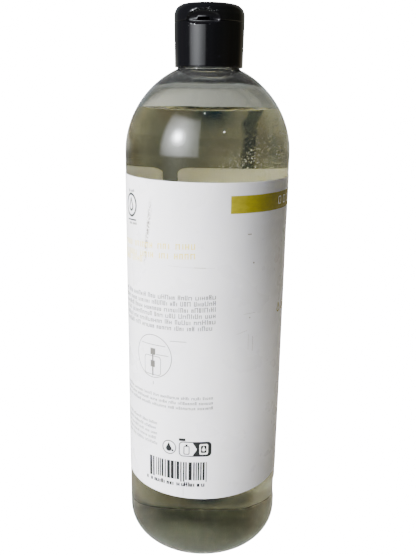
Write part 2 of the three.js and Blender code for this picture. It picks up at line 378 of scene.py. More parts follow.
def make_label():
    length = (LABEL_END - LABEL_START) * LABEL_R
    near = [0, 0.03, 0.12, 0.28, 0.5, 0.8, 1.15, 1.55, 2.0, 2.5]
    middle = list(np.linspace(LABEL_CORNER_R, length - LABEL_CORNER_R, 260))[1:-1]
    along = near + middle + [length - s for s in reversed(near)]
    rows = 110
    outer, inner = [], []
    for s in along:
        angle = LABEL_START + s / LABEL_R
        inset = max(LABEL_CORNER_R - min(s, length - s), 0)
        cut = LABEL_CORNER_R - math.sqrt(max(LABEL_CORNER_R**2 - inset**2, 0))
        low = label_low(angle * LABEL_R) + cut
        high = LABEL_TOP_Z - 0.4 - cut
        for k in range(rows + 1):
            z = low + (high - low) * k / rows
            outer.append(around(label_radius(angle, z), angle, z))
            wall = float(on_wall(BODY_R, z, np.array(angle))[0])
            inner.append(around(wall - LABEL_IN, angle, z))
    return new_piece("label_film", outer + inner, slab_faces(len(along) - 1, rows), 60)


label = make_label()


# ---------------------------------------------------------------- print on the label
def split_long(outer, inner, step=0.8):
    """Both outlines with points added along their long edges, so that they follow the curved film."""
    fine = ([], [])
    for i in range(len(outer)):
        j = (i + 1) % len(outer)
        count = max(1, math.ceil(math.dist(outer[i], outer[j]) / step))
        for points, side in zip(fine, (outer, inner)):
            for k in range(count):
                t = k / count
                points.append(tuple(a + (b - a) * t for a, b in zip(side[i], side[j])))
    return fine


class Print:
    """Collects thin slabs that lie on the label. u is the distance round it in mm from the front."""

    def __init__(self, tilt=0.0):
        self.vertices, self.faces, self.tilt = [], [], tilt

    def slab(self, tops, cells):
        """A slab whose top has the points tops, as (u, z), and the cells given by index, with walls
        wherever a cell's edge has no neighbour."""
        first, count = len(self.vertices), len(tops)
        for lift in (PRINT_LIFT, -PRINT_SINK):
            for u, z in tops:
                height = z + self.tilt * u
                angle = u / LABEL_R
                self.vertices.append(around(label_radius(angle, height) + lift, angle, height))
        edges = {}
        for cell in cells:
            self.faces.append(tuple(first + i for i in cell))
            self.faces.append(tuple(first + count + i for i in reversed(cell)))
            for a, b in zip(cell, cell[1:] + cell[:1]):
                edges[(a, b)] = True
        for a, b in edges:
            if (b, a) not in edges:
                self.faces.append((first + b, first + a, first + count + a, first + count + b))

    def block(self, u0, u1, z0, z1, step=1.0):
        columns = max(1, math.ceil((u1 - u0) / step))
        rows = max(1, math.ceil((z1 - z0) / step))
        tops = [
            (u0 + (u1 - u0) * i / columns, z0 + (z1 - z0) * k / rows)
            for i in range(columns + 1)
            for k in range(rows + 1)
        ]
        cells = []
        for i in range(columns):
            for k in range(rows):
                a = i * (rows + 1) + k
                b = a + rows + 1
                cells.append([a, b, b + 1, a + 1])
        self.slab(tops, cells)

    def loop(self, outer, inner):
        """A band between two closed outlines with the same number of points."""
        outer, inner = split_long(outer, inner)
        n = len(outer)
        cells = []
        for i in range(n):
            j = (i + 1) % n
            cells.append([i, j, n + j, n + i])
        self.slab(list(outer) + list(inner), cells)

    def patch(self, outline, centre):
        """A filled outline that can be seen whole from its centre."""
        n = len(outline)
        half = [((u + centre[0]) / 2, (z + centre[1]) / 2) for u, z in outline]
        cells = []
        for i in range(n):
            j = (i + 1) % n
            cells.append([i, j, n + j, n + i])
            cells.append([n + i, n + j, 2 * n])
        self.slab(list(outline) + half + [centre], cells)

    def words(self, right, z, length, height, seed, caps=False, weight=0.17):
        """One line of greeked text that ends at right: every letter is a few small blocks."""
        pick = random.Random(seed)
        stroke = height * weight
        widths = (0.3, 0.62, 0.7, 0.8) if caps else (0.22, 0.45, 0.52, 0.58, 0.7)
        u = right
        while u > right - length:
            for _ in range(pick.randint(3, 6 if caps else 9)):
                wide = height * pick.choice(widths)
                tall = height if caps or pick.random() < 0.3 else height * 0.72
                self.block(u - stroke, u, z, height * 0.72 + z if tall < height else z + tall)
                if wide > 0.4 * height:
                    self.block(u - wide, u - wide + stroke, z, z + tall)
                    bar = z + (tall - stroke) * pick.choice((0.0, 0.5, 1.0, 1.0))
                    self.block(u - wide + stroke, u - stroke, bar, bar + stroke * 0.8)
                u -= wide + height * (0.34 if caps else 0.2)
                if u < right - length:
                    break
            u -= height * (0.9 if caps else 0.5)

    def lay_over_print(self):
        """Moves the marks out a little, clear of the print under them."""
        self.vertices = [(x * OVER_PRINT, y * OVER_PRINT, z) for x, y, z in self.vertices]

    def piece(self, name, material):
        obj = new_piece(name, self.vertices, self.faces, 30)
        obj.data.materials.append(material)
        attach(obj, "bottle")
        return obj


def circle(u, z, radius, steps=40):
    return [
        (u + radius * math.cos(TURN * i / steps), z + radius * math.sin(TURN * i / steps))
        for i in range(steps)
    ]


def drop(u, z, radius, steps=32):
    """A plain drop: a circle whose upper side is drawn out to a point."""
    points = []
    for i in range(steps):
        a = TURN * i / steps
        upper = max(math.sin(a), 0)
        across = radius * math.cos(a) * (1 - 0.25 * upper)
        points.append((u + across, z + radius * math.sin(a) * (1 + 0.9 * upper**6)))
    return points


def rounded_box(u0, u1, z0, z1, radius, steps=6):
    left, right, low, high = u0 + radius, u1 - radius, z0 + radius, z1 - radius
    centres = ((right, high), (left, high), (left, low), (right, low))
    points = []
    for k, (u, z) in enumerate(centres):
        for i in range(steps + 1):
            a = math.pi / 2 * (k + i / steps)
            points.append((u + radius * math.cos(a), z + radius * math.sin(a)))
    return points


def arrow_panel(u0, u1, z0, z1, notch, rows=16):
    """Points and cells of a panel whose left side is cut in by a triangular notch."""
    tops, cells = [], []
    middle = (z0 + z1) / 2
    for k in range(rows + 1):
        z = z0 + (z1 - z0) * k / rows
        left = u0 + notch * (1 - abs(z - middle) / (z1 - middle))
        corner = max(abs(z - middle) - (z1 - middle) + 1.5, 0)
        right = u1 - 1.5 + math.sqrt(max(1.5**2 - corner**2, 0))
        tops += [(left + (right - left) * i / 8, z) for i in range(9)]
    for k in range(rows):
        for i in range(8):
            a = k * 9 + i
            cells.append([a, a + 1, a + 10, a + 9])
    return tops, cells


# ---------------------------------------------------------------- materials
class Graph:
    """Short calls for building a node tree."""

    def __init__(self, tree):
        self.tree = tree

    def add(self, kind, inputs=(), **settings):
        node = self.tree.nodes.new(kind)
        for key, value in settings.items():
            setattr(node, key, value)
        for key, value in dict(inputs).items():
            self.feed(node.inputs[key], value)
        return node

    def feed(self, socket, value):
        if isinstance(value, bpy.types.NodeSocket):
            self.tree.links.new(value, socket)
        else:
            socket.default_value = value

    def math(self, operation, a, b=0.0, clamp=False):
        return self.add("ShaderNodeMath", {0: a, 1: b}, operation=operation, use_clamp=clamp).outputs[0]

    def spread(self, value, low, high, to_low=0.0, to_high=1.0):
        inputs = {"Value": value, "From Min": low, "From Max": high, "To Min": to_low, "To Max": to_high}
        return self.add("ShaderNodeMapRange", inputs, clamp=True).outputs["Result"]

    def mix(self, factor, a, b):
        node = self.add("ShaderNodeMix", data_type="RGBA")
        self.feed(node.inputs[0], factor)
        self.feed(node.inputs[6], a)
        self.feed(node.inputs[7], b)
        return node.outputs[2]

    def scaled(self, colour, by):
        """A colour multiplied by another."""
        node = self.add("ShaderNodeMix", data_type="RGBA", blend_type="MULTIPLY")
        self.feed(node.inputs[0], 1.0)
        self.feed(node.inputs[6], colour)
        self.feed(node.inputs[7], by)
        return node.outputs[2]

    def glow(self, azimuth, elevation, at, spread, strength):
        """A round soft spot about the direction at, in degrees."""
        across = self.math("MULTIPLY", self.math("SUBTRACT", azimuth, at[0]), math.cos(rad(at[1])))
        up = self.math("SUBTRACT", elevation, at[1])
        square = self.math("ADD", self.math("MULTIPLY", across, across), self.math("MULTIPLY", up, up))
        fall = self.math("EXPONENT", self.math("MULTIPLY", square, -0.5 / spread**2))
        return self.math("MULTIPLY", fall, strength)


class Nodes(Graph):
    """A material with a Principled shader."""

    def __init__(self, name, **inputs):
        self.material = bpy.data.materials.new(name)
        self.material.use_nodes = True
        super().__init__(self.material.node_tree)
        self.shader = self.tree.nodes["Principled BSDF"]
        self.output = self.tree.nodes["Material Output"]
        for key, value in inputs.items():
            self.shader.inputs[key.replace("_", " ")].default_value = value

    def place(self, scale=(1, 1, 1)):
        """Object coordinates in millimetres, stretched by scale."""
        at = self.add("ShaderNodeTexCoord").outputs["Object"]
        size = tuple(s / MM for s in scale)
        return self.add("ShaderNodeMapping", {"Vector": at, "Scale": size}).outputs["Vector"]

    def noise(self, size, detail=2.0, scale=(1, 1, 1), roughness=0.5):
        """Noise whose lumps are about size mm across."""
        inputs = {"Vector": self.place(scale), "Scale": 1 / size, "Detail": detail, "Roughness": roughness}
        return self.add("ShaderNodeTexNoise", inputs).outputs["Fac"]

    def bump(self, height, distance, strength=1.0, normal=None):
        inputs = {"Height": height, "Distance": distance * MM, "Strength": strength}
        node = self.add("ShaderNodeBump", inputs)
        if normal is not None:
            self.feed(node.inputs["Normal"], normal)
        return node.outputs["Normal"]

    def axes(self):
        """x, y and z in millimetres."""
        split = self.add("ShaderNodeSeparateXYZ", {"Vector": self.place()})
        return split.outputs

    def angle(self):
        """The angle round the bottle in degrees from the front."""
        x, y, _ = self.axes()
        back = self.math("MULTIPLY", y, -1.0)
        return self.math("MULTIPLY", self.math("ARCTAN2", x, back), 180 / math.pi)

    def set(self, **inputs):
        for key, value in inputs.items():
            self.feed(self.shader.inputs[key.replace("_", " ")], value)
        return self.material


def clear_plastic():
    m = Nodes("clear_plastic", IOR=1.57, Transmission_Weight=1.0, Roughness=0.02)
    m.shader.inputs["Base Color"].default_value = (0.95, 0.96, 0.93, 1)
    x, y, z = m.axes()
    haze = m.spread(m.noise(9, 4), 0.45, 0.8, 0.01, 0.035)
    # the thick base is cloudy inside its standing ring, and a little hazy all over
    across = m.math("SQRT", m.math("ADD", m.math("MULTIPLY", x, x), m.math("MULTIPLY", y, y)))
    middle = m.math("MULTIPLY", m.spread(across, 23, 27, 1.0, 0.0), m.spread(z, 7, 9, 1.0, 0.0))
    cloudy = m.math("MAXIMUM", haze, m.math("MULTIPLY", middle, 0.42))
    cloudy = m.math("MAXIMUM", cloudy, m.spread(z, 8, 15, 0.2, 0.0))
    soft = m.bump(m.noise(5, 3, scale=(1, 1, 0.35)), 0.02, 0.35)
    # fine dried droplets on the shoulder, thicker towards the right and the label
    specks = m.spread(m.noise(0.75, 2), 0.63, 0.70)
    where = m.math("MULTIPLY", m.spread(m.noise(15, 2), 0.42, 0.6), m.spread(z, 164, 186, 1.0, 0.12))
    where = m.math("MULTIPLY", where, m.spread(m.math("ADD", x, m.math("MULTIPLY", z, 0.25)), 42, 60))
    where = m.math("MULTIPLY", where, m.spread(z, 162, 164))
    dried = m.math("MULTIPLY", specks, where)
    cloudy = m.math("MAXIMUM", cloudy, m.math("MULTIPLY", dried, 0.5))
    drops = m.bump(dried, 0.08, 1.0, soft)
    milky = m.math("MAXIMUM", m.math("MULTIPLY", dried, 0.45), m.math("MULTIPLY", middle, 0.6))
    milky = m.math("MAXIMUM", milky, m.spread(z, 194, 200, 0.0, 0.011))
    clear = m.math("SUBTRACT", 1.0, milky)
    return m.set(Roughness=cloudy, Normal=drops, Transmission_Weight=clear)


def liquid_soap():
    m = Nodes("liquid_soap", IOR=1.37, Transmission_Weight=1.0, Roughness=0.0)
    m.shader.inputs["Base Color"].default_value = (1, 1, 1, 1)
    tint = m.add("ShaderNodeVolumeAbsorption", {"Color": (0.42, 0.40, 0.10, 1), "Density": 19.0})
    m.tree.links.new(tint.outputs["Volume"], m.output.inputs["Volume"])
    ripple = m.noise(14, 1)
    return m.set(Normal=m.bump(ripple, 0.02, 0.2))


def label_film():
    m = Nodes("label_film", IOR=1.49, Roughness=0.32, Subsurface_Weight=1.0, Subsurface_Scale=0.35 * MM)
    m.shader.inputs["Subsurface Radius"].default_value = (1.0, 1.0, 0.9)
    z = m.axes()[2]
    angle = m.angle()
    paper = m.mix(m.spread(m.noise(30, 2), 0.3, 0.7), (0.86, 0.85, 0.865, 1), (0.91, 0.90, 0.915, 1))
    # a dark, mottled line along the pinched fold
    fold = m.math("MULTIPLY", m.math("SUBTRACT", z, FOLD_Z), FOLD_SLOPE)
    fold = m.math("ADD", fold, FOLD_DEGREES)
    beside = m.math("ABSOLUTE", m.math("SUBTRACT", angle, fold))
    near = m.spread(beside, 0.4, 2.3, 1.0, 0.0)
    along = m.math("MULTIPLY", m.spread(z, 129, 134), m.spread(z, 151, 157, 1.0, 0.0))
    speck = m.spread(m.noise(0.9, 4), 0.40, 0.58)
    fold_line = m.math("MULTIPLY", m.math("MULTIPLY", near, along), speck)
    # faint rubbed dirt over the whole film
    rub = m.math("MULTIPLY", m.spread(m.noise(1.4, 5), 0.64, 0.78), m.spread(m.noise(22, 2), 0.5, 0.68))
    dirty = m.mix(m.math("MULTIPLY", rub, 0.02), paper, (0.36, 0.33, 0.27, 1))
    colour = m.mix(m.math("MULTIPLY", fold_line, 0.95), dirty, (0.10, 0.085, 0.06, 1))
    gloss = m.spread(m.noise(12, 3), 0.3, 0.75, 0.24, 0.4)
    ripple = m.bump(m.noise(16, 2, scale=(1, 1, 0.45)), 0.035, 0.5)
    grain = m.bump(m.noise(0.35, 2), 0.004, 0.5, ripple)
    return m.set(Base_Color=colour, Roughness=gloss, Normal=grain)


def ink(name, colour, roughness=0.4):
    """Printed ink: a colour with slight mottling from the press and a soft sheen."""
    m = Nodes(name, IOR=1.48, Roughness=roughness)
    light = tuple(min(c * 1.14 + 0.002, 1) for c in colour) + (1,)
    dark = tuple(c * 0.9 for c in colour) + (1,)
    mottled = m.mix(m.spread(m.noise(2.2, 4, scale=(1, 1, 2.0)), 0.3, 0.7), dark, light)
    fine = m.bump(m.noise(0.3, 2), 0.003, 0.4)
    return m.set(Base_Color=mottled, Normal=fine)


def black_plastic():
    m = Nodes("black_plastic", IOR=1.6, Roughness=0.12)
    dust = m.math("MULTIPLY", m.spread(m.noise(0.5, 3), 0.66, 0.74), m.spread(m.noise(6, 2), 0.5, 0.7))
    colour = m.mix(m.math("MULTIPLY", dust, 0.25), (0.0018, 0.0018, 0.0024, 1), (0.03, 0.03, 0.028, 1))
    gloss = m.spread(m.noise(3.5, 4), 0.3, 0.75, 0.08, 0.14)
    soft = m.bump(m.noise(4.5, 2, scale=(1, 1, 0.5)), 0.06, 0.35)
    grain = m.bump(m.noise(0.25, 2), 0.004, 0.35, soft)
    return m.set(Base_Color=colour, Roughness=gloss, Normal=grain)


def liner_foam():
    m = Nodes("liner_foam", Roughness=0.85)
    cells = m.noise(0.25, 3)
    colour = m.mix(m.spread(cells, 0.35, 0.7), (0.62, 0.60, 0.55, 1), (0.80, 0.79, 0.75, 1))
    return m.set(Base_Color=colour, Normal=m.bump(cells, 0.05, 0.6))


# ---------------------------------------------------------------- the print itself
def olive_banner():
    """A banner across the top of the front panel, centred on the panel."""
    band = Print()
    band.block(9.0, 79.0, 151.5, 158.1)
    return band.piece("print_banner", ink("ink_olive", (0.30, 0.26, 0.014), 0.34))


def banner_marks():
    """Six plain upright marks reversed out of the banner."""
    marks = Print()
    for i in range(6):
        u = 32.4 + i * 4.3
        outer = rounded_box(u, u + 2.4, 153.2, 156.5, 0.5)
        inner = rounded_box(u + 0.55, u + 1.85, 153.75, 155.95, 0.2)
        marks.loop(outer, inner)
    marks.lay_over_print()
    return marks.piece("print_banner_marks", ink("ink_white", (0.78, 0.77, 0.72)))


def front_panel():
    """A row of four small outline drops across the middle of the front panel."""
    soft = Print()
    for i in range(4):
        u = 36.9 + i * 4.73
        soft.loop(drop(u, 110.0, 1.45), drop(u, 110.0, 0.95))
    return soft.piece("print_front_panel", ink("ink_pale_olive", (0.34, 0.30, 0.08)))


def gold_lines():
    gold = Print(BACK_TILT)
    for row, (z, right) in enumerate(((138.4, -4.1), (134.7, -4.1), (132.4, -28.0))):
        gold.words(right, z, right + 52, 2.15, 20 + row, caps=True)
    return gold.piece("print_gold_lines", ink("ink_pale_yellow", (0.80, 0.66, 0.07)))


def grey_text():
    grey = Print(BACK_TILT)
    for row in range(6):
        grey.words(4.0 - (1.2 if row == 5 else 0), 118.7 - row * 2.48, 60, 1.9, 40 + row)
    for row in range(3):
        grey.words(3.6, 77.3 - row * 2.15, 58, 1.35, 60 + row)
    for row in range(5):
        grey.words(-20.2 - 0.7 * (row % 2), 64.6 - row * 2.3, 36, 1.3, 80 + row)
    grey.words(-31.6, 146.6, 6.0, 1.2, 90, weight=0.26)
    grey.words(-33.4, 159.2, 5.0, 1.2, 91, weight=0.26)
    return grey.piece("print_text", ink("ink_grey", (0.13, 0.13, 0.125)))


def pictogram():
    """A circle with a pump head over a bottle, drawn in thin lines."""
    thin = Print(BACK_TILT)
    u, z, r = -22.3, 94.3, 9.2
    thin.loop(circle(u, z, r, 72), circle(u, z, r - 0.28, 72))
    thin.block(u - 1.2, u + 1.4, z + 0.6, z + 3.4)
    thin.block(u - 0.3, u + 0.4, z - 8.3, z + 0.6)
    thin.block(u - 1.1, u + 1.2, z - 4.6, z - 1.8)
    body = rounded_box(u - 4.6, u + 4.2, z - 8.0, z + 0.2, 1.4)
    thin.loop(body, rounded_box(u - 4.35, u + 3.95, z - 7.75, z - 0.05, 1.2))
    for left, right, height in ((-6.5, 6.3, 4.8), (1.8, 7.7, 0.9)):
        thin.block(u + left, u + right, z + height, z + height + 0.22)
    thin.block(u + 8.3, u + 15.2, z + 7.4, z + 7.6)
    thin.block(u + 0.1, u + 0.4, z - 12.2, z - 10.8)
    return thin.piece("print_pictogram", ink("ink_thin_grey", (0.10, 0.095, 0.085)))


def dark_icons():
    """A ringed drop near the top, and a round badge and a two-part box above the bar code."""
    dark = Print(BACK_TILT)
    u, z = -36.2, 154.2
    dark.loop(circle(u, z, 4.75, 56), circle(u, z, 3.85, 56))
    dark.loop(drop(u, z - 0.5, 1.95), drop(u, z - 0.5, 1.1))
    dark.block(u - 3.6, u + 4.2, z - 6.1, z - 5.5)
    u, z = -14.3, 55.7
    dark.loop(circle(u, z, 3.15, 48), circle(u, z, 2.75, 48))
    dark.patch(drop(u - 0.2, z - 0.5, 1.35), (u - 0.2, z - 0.5))
    dark.patch(circle(u + 1.5, z - 1.3, 0.5, 16), (u + 1.5, z - 1.3))
    dark.loop(rounded_box(-10.0, 3.4, 52.2, 58.9, 1.7), rounded_box(-9.6, 3.0, 52.6, 58.5, 1.35))
    dark.block(-10.0, -7.2, 59.1, 60.3)
    dark.slab(*arrow_panel(-4.4, 3.2, 52.4, 58.7, 1.9))
    dark.loop(rounded_box(-8.0, -5.5, 53.1, 57.0, 0.6), rounded_box(-7.65, -5.85, 53.45, 56.65, 0.35))
    dark.block(-7.2, -6.3, 57.0, 57.7)
    return dark.piece("print_icons", ink("ink_dark", (0.009, 0.010, 0.010)))


def icon_windows():
    """Small light shapes reversed out of the dark half of the box."""
    light = Print(BACK_TILT)
    light.loop(rounded_box(-1.5, 2.0, 53.2, 57.9, 0.7), rounded_box(-0.9, 1.4, 53.9, 57.2, 0.4))
    light.patch(drop(0.25, 55.4, 0.75), (0.25, 55.4))
    light.lay_over_print()
    return light.piece("print_icon_windows", ink("ink_white_small", (0.78, 0.77, 0.75)))


def bar_code():
    """Generic upright bars with a row of small blocks under them. They carry no number."""
    dark, pick = Print(BACK_TILT), random.Random(5)
    u, end = -24.3, 1.6
    low, high = 41.4, 49.7
    count = 0
    while u < end - 0.3:
        wide = pick.choice((0.48, 0.6, 0.85, 1.1, 1.35))
        wide = min(wide, end - u)
        guard = count in (0, 1, 11, 12) or u > end - 1.4
        dark.block(u, u + wide, low - (0.9 if guard else 0), high)
        u += wide + pick.choice((0.36, 0.4, 0.45, 0.6, 0.75))
        count += 1
    for i in range(13):
        at = -26.6 if i == 0 else -24.0 + (i - 1) * 2.08 + (0.6 if i > 6 else 0)
        dark.words(at + 1.3, low - 3.0, 1.0, 2.0, 200 + i, weight=0.26)
    return dark.piece("print_bar_code", ink("ink_bars", (0.008, 0.009, 0.009)))


def scuffs():
    """Thin dirty scratches and specks on the film."""
    marks = Print()
    marks.block(-14.8, -4.4, 131.05, 131.13)
    marks.block(-4.4, 0.1, 131.0, 131.22)
    marks.block(0.1, 3.4, 131.08, 131.15)
    marks.block(16.2, 17.9, 143.2, 143.6)
    marks.patch(circle(19.3, 132.2, 0.35, 12), (19.3, 132.2))
    marks.patch(circle(18.3, 110.3, 0.3, 12), (18.3, 110.3))
    marks.block(15.4, 21.0, 111.95, 112.05)
    marks.block(20.0, 20.14, 96.0, 102.4)
    marks.block(17.9, 18.0, 97.0, 103.5)
    for i in range(5):
        marks.block(12.6 + i * 0.9, 13.6 + i * 0.9, 104.2 + i * 0.2, 104.3 + i * 0.2)
    marks.block(-8.15, -8.0, 33.2, 37.4)
    return marks.piece("print_scuffs", ink("scuff_dirt", (0.40, 0.37, 0.32)))


for make_print in (
    olive_banner, banner_marks, front_panel, gold_lines, grey_text,
    pictogram, dark_icons, icon_windows, bar_code, scuffs,
):
    make_print()


# ---------------------------------------------------------------- closure
def from_thumb(angles):
    """Angles from the middle of the thumb recess, between minus and plus half a turn."""
    return (angles - THUMB_ANGLE + math.pi) % TURN - math.pi


def thumb_depth(angles, z):
    """How far the thumb recess goes in from the closure's outer face, in mm."""
    turn = from_thumb(angles)
    across = np.sin(turn) * CLOSURE_R / THUMB_HALF_W
    facing = np.cos(turn) > 0
    up = (z - THUMB_Z) / (THUMB_ABOVE if z > THUMB_Z else THUMB_BELOW)
    left = np.clip(1 - across**2 - up**2, 0, 1)
    return np.where(facing, THUMB_DEEP * np.sqrt(left) * smooth(left, 0, 0.12), 0)


def closure_bend(r, z, angles):
    """Presses the thumb recess into the outer face."""
    depth = thumb_depth(angles, z) if r > SNAP_RING_R + 0.2 else 0
    return r - np.maximum(depth - (CLOSURE_R - r), 0), z


def make_closure():
    top_z = PARTING_Z - PARTING_GAP / 2
    ring_r = SNAP_RING_R - SNAP_RING_T
    under_z = DECK_Z - DECK_T
    foot = arc(SKIRT_R - 0.3, SKIRT_Z + 0.3, 0.3, -90, 0, 4)
    side = line(foot[-1], (CLOSURE_R, top_z - 0.25), 64)
    edge = arc(CLOSURE_R - 0.25, top_z - 0.25, 0.25, 0, 90, 4)
    rim = line(edge[-1], (SNAP_RING_R, top_z), 4)
    ring = [(SNAP_RING_R, RING_TOP_Z - 0.25)]
    ring += arc(SNAP_RING_R - 0.25, RING_TOP_Z - 0.25, 0.25, 0, 90, 3)
    ring += arc(ring_r + 0.15, RING_TOP_Z - 0.15, 0.15, 90, 180, 3) + [(ring_r, DECK_Z + 0.3)]
    ring += [(ring_r - 0.1, DECK_Z + 0.08), (ring_r - 0.3, DECK_Z)]
    deck = [(NOZZLE_R + 0.3, DECK_Z), (NOZZLE_R + 0.08, DECK_Z + 0.1), (NOZZLE_R, DECK_Z + 0.3)]
    nozzle = [(NOZZLE_R - 0.25, NOZZLE_TOP_Z - 0.3)]
    nozzle += arc(NOZZLE_R - 0.5, NOZZLE_TOP_Z - 0.25, 0.25, 0, 90, 3)
    nozzle += arc(ORIFICE_R + 0.25, NOZZLE_TOP_Z - 0.25, 0.25, 90, 180, 3) + [(ORIFICE_R, under_z)]
    bore = line((CLOSURE_BORE_R - 0.3, under_z), (CLOSURE_BORE_R, under_z - 0.3), 2)
    bore += line(bore[-1], (CLOSURE_BORE_R, SKIRT_Z + 0.25), 90) + [(CLOSURE_BORE_R + 0.25, SKIRT_Z)]
    outline = foot + side + edge[1:] + rim + ring + deck + nozzle + bore
    low_z = THREAD_LOW_Z - PITCH / 2

    def bend(r, z, angles):
        if abs(r - CLOSURE_BORE_R) < 0.01 and z < under_z:
            return r - CLOSURE_THREAD_H * thread_ridge(angles, z, 0.55, 0.25, low_z), z
        if z > top_z and r > ring_r - 0.01:
            turn = from_thumb(angles)
            open_here = 1 - smooth(np.abs(turn) * CLOSURE_R, 5.0, 5.8)
            return r, z - (z - top_z) * open_here
        return closure_bend(r, z, angles)

    return turned("closure_shell", outline, 216, bend, 35)


def make_lid():
    low_z = PARTING_Z + PARTING_GAP / 2
    shoulder_z = CLOSURE_TOP_Z - LID_CROWN - LID_CORNER_R
    roof_z = CLOSURE_TOP_Z - LID_CROWN - LID_T
    edge = arc(CLOSURE_R - 0.25, low_z + 0.25, 0.25, -90, 0, 4)
    side = line(edge[-1], (CLOSURE_R, shoulder_z), 14)
    corner = arc(CLOSURE_R - LID_CORNER_R, shoulder_z, LID_CORNER_R, 0, 90, 18)
    flat_r = CLOSURE_R - LID_CORNER_R
    crown = [(flat_r * s, CLOSURE_TOP_Z - LID_CROWN * s * s) for s in (0.85, 0.7, 0.55, 0.4, 0.2, 0)]
    plug = [(0, PLUG_Z), (PLUG_R - 0.35, PLUG_Z)] + arc(PLUG_R - 0.35, PLUG_Z + 0.35, 0.35, -60, 0, 3)
    plug += [(PLUG_R, NOZZLE_TOP_Z + 0.4), (PLUG_ROOT_R, NOZZLE_TOP_Z + 1.2), (PLUG_ROOT_R, roof_z - 0.3)]
    roof = [(PLUG_ROOT_R + 0.3, roof_z)] + line((PLUG_ROOT_R + 0.3, roof_z), (LID_INNER_R - 2.6, roof_z), 4)
    wall = arc(LID_INNER_R - 2.6, roof_z - 2.6, 2.6, 80, 0, 8)
    wall += line(wall[-1], (LID_INNER_R, low_z + 0.2), 12) + [(LID_INNER_R + 0.2, low_z)]
    outline = plug + roof + wall + edge + side[:-1] + corner + crown

    def bend(r, z, angles):
        turn = from_thumb(angles)
        slit = 1 - smooth(np.abs(turn) * CLOSURE_R, LIFT_HALF_W - 0.5, LIFT_HALF_W)
        lift = LIFT_H * slit * (1 - smooth(z, low_z, low_z + 2.6)) if r > 11 else 0
        if r < LID_INNER_R + 0.25 and r > 6 and z < roof_z - 0.2:
            behind = thumb_depth(angles, z) + 1.0 - (CLOSURE_R - r)
            backed = smooth(z, RING_TOP_Z, RING_TOP_Z + 0.4) * (thumb_depth(angles, z) > 0)
            return r - np.maximum(behind, 0) * backed, z + lift
        return closure_bend(r, z, angles)[0], z + lift

    return turned("closure_lid", outline, 216, bend, 35)


def make_hinge_web():
    """The thin strip that joins the lid to the closure at the back, in three short lands."""
    vertices, faces = [], []
    rows, half_h, thick = 10, 1.3, 0.32
    for start, end in ((-15, -6.5), (-4, 4), (6.5, 15)):
        first, columns = len(vertices), 8
        for outer in (True, False):
            for i in range(columns + 1):
                angle = HINGE_ANGLE + rad(start + (end - start) * i / columns)
                for k in range(rows + 1):
                    t = 2 * k / rows - 1
                    r = CLOSURE_R - 0.12 if outer else CLOSURE_R - 0.12 - thick - 0.35 * abs(t)
                    vertices.append(around(r, angle, PARTING_Z + half_h * t))
        faces += slab_faces(columns, rows, first)
    return new_piece("hinge_web", vertices, faces, 40)


def make_liner():
    middle = (LINER_Z + LINER_TOP_Z) / 2
    hole_r, soft = 7.6, 0.2
    outline = arc(LINER_R - soft, LINER_Z + soft, soft, -90, 0, 4) + [(LINER_R - 0.04, middle)]
    outline += arc(LINER_R - soft, LINER_TOP_Z - soft, soft, 0, 90, 4)
    outline += arc(hole_r + soft, LINER_TOP_Z - soft, soft, 90, 180, 4)
    outline += arc(hole_r + soft, LINER_Z + soft, soft, 180, 270, 4)
    return turned("liner_ring", outline, 120)


closure, lid, web, liner = make_closure(), make_lid(), make_hinge_web(), make_liner()

# ---------------------------------------------------------------- bodies, nodes and finishes
PIECES = (
    (bottle, "bottle", "bottle", "clear_plastic", clear_plastic()),
    (soap, "bottle", "soap_fill", "liquid_soap", liquid_soap()),
    (label, "bottle", "wrap_label", "label_film", label_film()),
    (liner, "liner", "sealing_liner", "liner_foam", liner_foam()),
)
for piece, body, node, slot, material in PIECES:
    piece.data.materials.append(material)
    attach(piece, body)
    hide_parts(node)

BLACK = black_plastic()
for piece, body, node in ((closure, "closure", "closure_body"), (lid, "lid", "flip_lid")):
    piece.data.materials.append(BLACK)
    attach(piece, body)
    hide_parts(node)
web.data.materials.append(BLACK)
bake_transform(web)


# ---------------------------------------------------------------- stage and light
# The room's colours: low walls, high walls, the table, the band over it, and the dark things behind
LOW_COLOUR = (0.27, 0.245, 0.205, 1)
CEILING_COLOUR = (0.26, 0.26, 0.25, 1)
TABLE_COLOUR = (0.98, 0.95, 0.83, 1)
FAR_COLOUR = (0.36, 0.37, 0.35, 1)
DARK_COLOUR = (0.012, 0.03, 0.05, 1)
WINDOW_LIGHT, CORE_LIGHT, HALO_LIGHT, LAMP_LIGHT = 2.3, 120.0, 6.0, 120.0
BACKDROP_LIGHT = 18.0
INSIDE_BOOST = 4.0       # how much brighter the window is for light on its way through the clear wall
MATT_DIMMING = 0.55      # the share of the world's light that matt surfaces don't get


def make_floor():
    mesh = bpy.data.meshes.new("floor")
    half = 6.0
    corners = [(-half, -half, 0), (half, -half, 0), (half, half, 0), (-half, half, 0)]
    mesh.from_pydata(corners, [], [(0, 1, 2, 3)])
    floor = bpy.data.objects.new("floor", mesh)
    floor.location.z = -0.0003
    bpy.context.scene.collection.objects.link(floor)
    for kind in ("diffuse", "glossy", "transmission"):
        setattr(floor, "visible_" + kind, False)
    m = Nodes("floor_pale", Roughness=0.9)
    m.shader.inputs["Base Color"].default_value = (0.5, 0.5, 0.5, 1)
    m.shader.inputs["Emission Color"].default_value = (1, 1, 1, 1)
    m.shader.inputs["Emission Strength"].default_value = BACKDROP_LIGHT
    mesh.materials.append(m.material)


